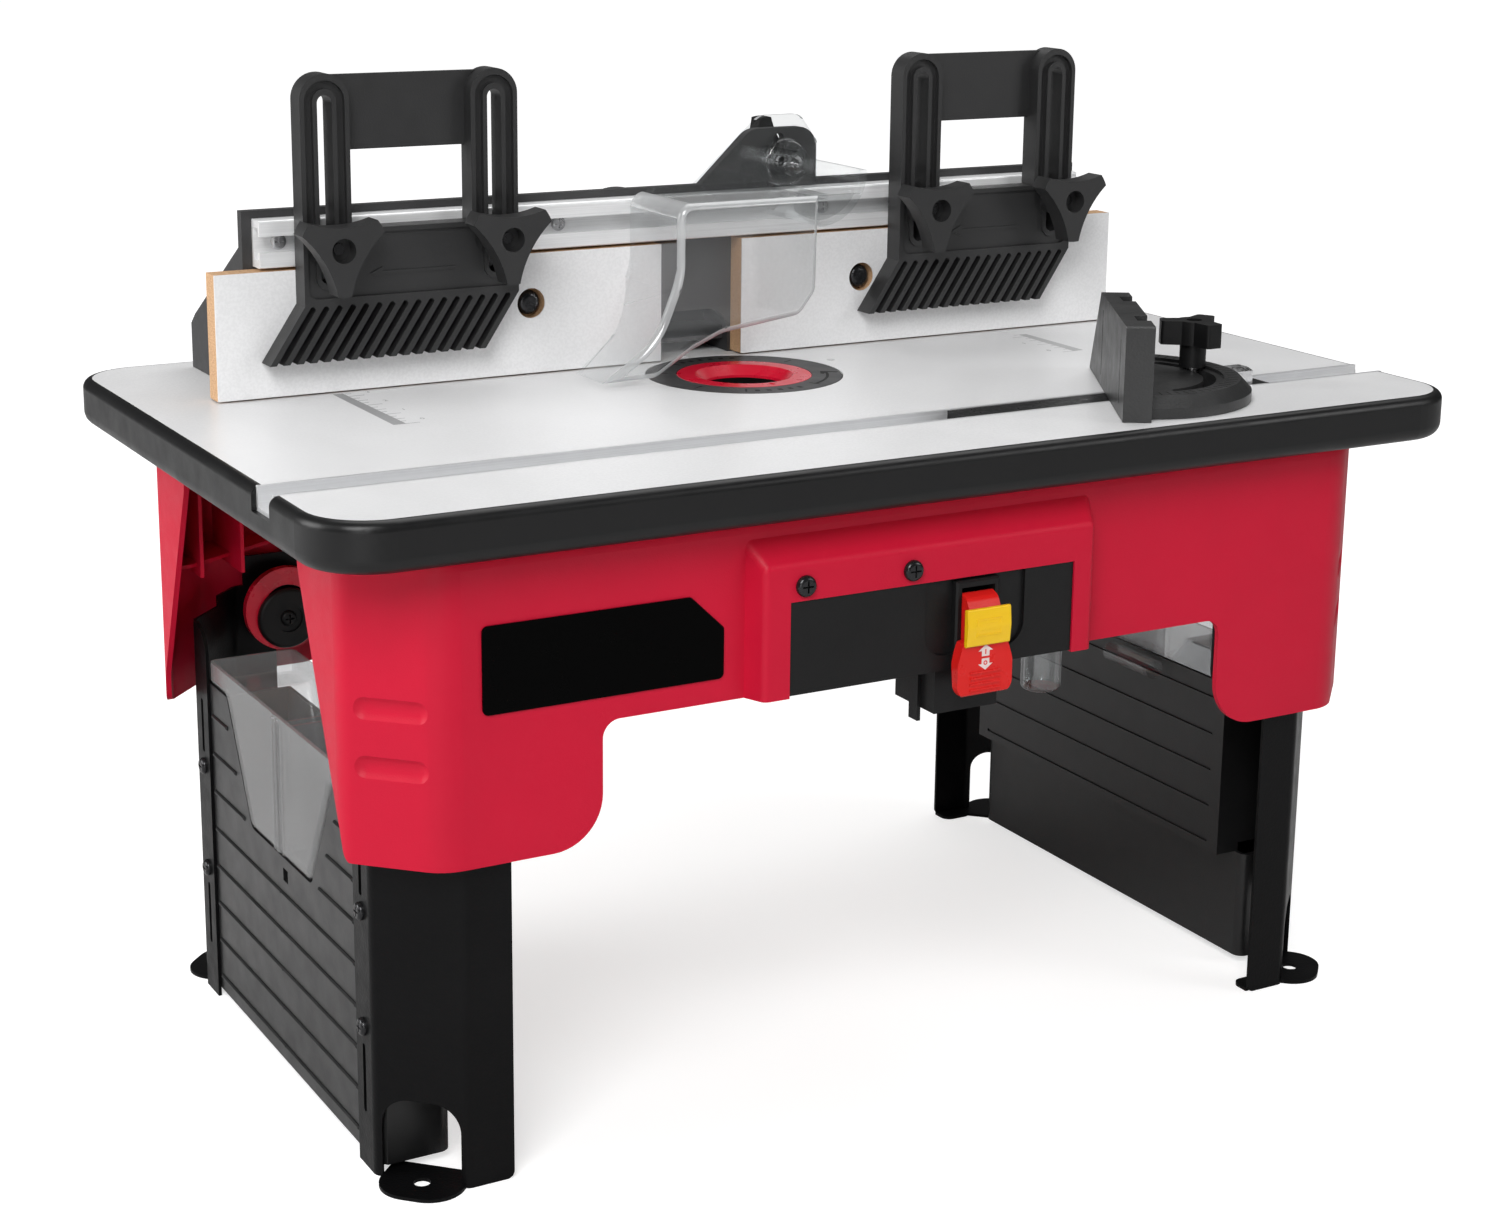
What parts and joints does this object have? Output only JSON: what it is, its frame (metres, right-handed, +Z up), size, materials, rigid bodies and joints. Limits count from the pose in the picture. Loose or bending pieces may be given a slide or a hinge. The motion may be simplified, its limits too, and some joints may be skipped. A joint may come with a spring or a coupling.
{
  "type": "router table",
  "caption": "Benchtop router table with laminated top, steel legs, red shrouds, split fence, clear guard, featherboards and miter gauge.",
  "frame": {"origin": "on the floor, under the centre of the bounding box", "axes": "+X right along the fence, +Y from the operator to the back, +Z up"},
  "size_m": [0.662, 0.394, 0.516],
  "materials": {
    "mdf": "sanded board",
    "laminate": "fine textured laminate",
    "black_plastic": "fine grained",
    "black_band": "satin extrusion",
    "aluminium": "satin extrusion",
    "red_plastic": "fine grained",
    "black_steel": "powder coat",
    "zinc_steel": "zinc plated",
    "black_screw": "black oxide",
    "yellow_plastic": "smooth",
    "clear_plastic": "clear moulded",
    "smoke_plastic": "smoked clear moulded",
    "cast_grey": "painted casting"
  },
  "bodies": {
    "table": {"tabletop_core": "mdf", "tabletop_laminate": "laminate", "edge_band": "black_band", "miter_track": "aluminium", "router_plate": "black_plastic", "router_bracket": "black_steel", "leg_front_left": "black_steel", "leg_front_right": "black_steel", "leg_rear_left": "black_steel", "leg_rear_right": "black_steel", "side_panel_left": "black_plastic", "side_panel_right": "black_plastic", "shroud_front": "red_plastic", "shroud_rear": "red_plastic", "nameplate": "black_plastic", "shroud_screws": "black_screw", "switch_panel": "black_plastic", "switch_housing": "black_plastic", "bit_cup": "clear_plastic", "leg_screws": "zinc_steel", "top_screws": "zinc_steel", "spare_ring": "red_plastic", "spare_retainer": "black_plastic", "bit_tube": "clear_plastic", "fence_clamp_bolts": "zinc_steel"},
    "insert": {"insert_ring": "red_plastic"},
    "switch": {"switch_paddle": "red_plastic"},
    "key": {"safety_key": "yellow_plastic"},
    "storage_left": {"bin_left": "smoke_plastic"},
    "storage_right": {"bin_right": "smoke_plastic"},
    "fence": {"fence_base": "black_plastic", "fence_track": "aluminium", "fence_screws": "zinc_steel", "dust_port": "black_plastic"},
    "guard": {"guard_shield": "clear_plastic"},
    "guard_clamp": {"guard_knob": "clear_plastic", "guard_wing": "black_plastic"},
    "gauge_bar": {"miter_bar": "zinc_steel", "miter_fittings": "zinc_steel"},
    "gauge_head": {"miter_head": "cast_grey"},
    "gauge_knob": {"miter_knob": "black_plastic"},
    "clamp_knob_left": {"clamp_knob_left": "black_plastic"},
    "face_left": {"fence_face_left": "mdf", "face_bolts_left": "black_screw"},
    "face_knob_left_inner": {"face_knob_left_inner": "black_plastic"},
    "face_knob_left_outer": {"face_knob_left_outer": "black_plastic"},
    "carriage_left": {"track_bolts_left": "zinc_steel"},
    "featherboard_left": {"featherboard_left": "black_plastic"},
    "feather_knob_left_a": {"feather_knob_left_a": "black_plastic"},
    "feather_knob_left_b": {"feather_knob_left_b": "black_plastic"},
    "clamp_knob_right": {"clamp_knob_right": "black_plastic"},
    "face_right": {"fence_face_right": "mdf", "face_bolts_right": "black_screw"},
    "face_knob_right_inner": {"face_knob_right_inner": "black_plastic"},
    "face_knob_right_outer": {"face_knob_right_outer": "black_plastic"},
    "carriage_right": {"track_bolts_right": "zinc_steel"},
    "featherboard_right": {"featherboard_right": "black_plastic"},
    "feather_knob_right_a": {"feather_knob_right_a": "black_plastic"},
    "feather_knob_right_b": {"feather_knob_right_b": "black_plastic"}
  },
  "joints": [
    {"name": "insert_turn", "type": "hinge", "parent": "table", "child": "insert", "pos_m": [0, 0.0235, 0.344], "axis": [0, 0, 1], "range_deg": [-30, 0]},
    {"name": "switch_rock", "type": "hinge", "parent": "table", "child": "switch", "pos_m": [0.018, -0.176, 0.257], "axis": [1, 0, 0], "range_deg": [-6, 4], "stiffness_Nm_per_rad": 0.2},
    {"name": "key_pull", "type": "slide", "parent": "switch", "child": "key", "axis": [0, -1, 0], "range_m": [0, 0.02]},
    {"name": "bin_left_slide", "type": "slide", "parent": "table", "child": "storage_left", "axis": [-1, 0, 0], "range_m": [0, 0.05]},
    {"name": "bin_right_slide", "type": "slide", "parent": "table", "child": "storage_right", "axis": [1, 0, 0], "range_m": [0, 0.05]},
    {"name": "fence_slide", "type": "slide", "parent": "table", "child": "fence", "axis": [0, 1, 0], "range_m": [-0.02, 0.015]},
    {"name": "guard_lift", "type": "slide", "parent": "fence", "child": "guard", "axis": [0, 0, 1], "range_m": [0, 0.012]},
    {"name": "guard_clamp_turn", "type": "hinge", "parent": "guard", "child": "guard_clamp", "pos_m": [0.057, 0.08, 0.455], "axis": [0, 1, 0], "continuous": true},
    {"name": "gauge_slide", "type": "slide", "parent": "table", "child": "gauge_bar", "axis": [1, 0, 0], "range_m": [-0.33, 0.055]},
    {"name": "gauge_turn", "type": "hinge", "parent": "gauge_bar", "child": "gauge_head", "pos_m": [0.158, -0.1178, 0.35], "axis": [0, 0, 1], "range_deg": [-28, 85]},
    {"name": "gauge_clamp_turn", "type": "hinge", "parent": "gauge_bar", "child": "gauge_knob", "pos_m": [0.2015, -0.1178, 0.37], "axis": [0, 0, 1], "continuous": true},
    {"name": "clamp_turn_left", "type": "hinge", "parent": "table", "child": "clamp_knob_left", "pos_m": [-0.215, 0.148, 0.36], "axis": [0, 0, 1], "continuous": true},
    {"name": "face_slide_left", "type": "slide", "parent": "fence", "child": "face_left", "axis": [-1, 0, 0], "range_m": [-0.014, 0.012]},
    {"name": "face_knob_left_inner_turn", "type": "hinge", "parent": "face_left", "child": "face_knob_left_inner", "pos_m": [-0.1066, 0.099, 0.386], "axis": [0, 1, 0], "continuous": true},
    {"name": "face_knob_left_outer_turn", "type": "hinge", "parent": "face_left", "child": "face_knob_left_outer", "pos_m": [-0.213, 0.099, 0.386], "axis": [0, 1, 0], "continuous": true},
    {"name": "carriage_slide_left", "type": "slide", "parent": "fence", "child": "carriage_left", "axis": [1, 0, 0], "range_m": [-0.02, 0.02]},
    {"name": "featherboard_lift_left", "type": "slide", "parent": "carriage_left", "child": "featherboard_left", "axis": [0, 0, 1], "range_m": [-0.018, 0.014]},
    {"name": "feather_knob_left_a_turn", "type": "hinge", "parent": "carriage_left", "child": "feather_knob_left_a", "pos_m": [-0.2285, 0.048, 0.4275], "axis": [0, 1, 0], "continuous": true},
    {"name": "feather_knob_left_b_turn", "type": "hinge", "parent": "carriage_left", "child": "feather_knob_left_b", "pos_m": [-0.1335, 0.048, 0.4275], "axis": [0, 1, 0], "continuous": true},
    {"name": "clamp_turn_right", "type": "hinge", "parent": "table", "child": "clamp_knob_right", "pos_m": [0.215, 0.148, 0.36], "axis": [0, 0, 1], "continuous": true},
    {"name": "face_slide_right", "type": "slide", "parent": "fence", "child": "face_right", "axis": [1, 0, 0], "range_m": [-0.014, 0.012]},
    {"name": "face_knob_right_inner_turn", "type": "hinge", "parent": "face_right", "child": "face_knob_right_inner", "pos_m": [0.1066, 0.099, 0.386], "axis": [0, 1, 0], "continuous": true},
    {"name": "face_knob_right_outer_turn", "type": "hinge", "parent": "face_right", "child": "face_knob_right_outer", "pos_m": [0.213, 0.099, 0.386], "axis": [0, 1, 0], "continuous": true},
    {"name": "carriage_slide_right", "type": "slide", "parent": "fence", "child": "carriage_right", "axis": [1, 0, 0], "range_m": [-0.02, 0.02]},
    {"name": "featherboard_lift_right", "type": "slide", "parent": "carriage_right", "child": "featherboard_right", "axis": [0, 0, 1], "range_m": [-0.018, 0.014]},
    {"name": "feather_knob_right_a_turn", "type": "hinge", "parent": "carriage_right", "child": "feather_knob_right_a", "pos_m": [0.1375, 0.048, 0.4275], "axis": [0, 1, 0], "continuous": true},
    {"name": "feather_knob_right_b_turn", "type": "hinge", "parent": "carriage_right", "child": "feather_knob_right_b", "pos_m": [0.2325, 0.048, 0.4275], "axis": [0, 1, 0], "continuous": true}
  ]
}
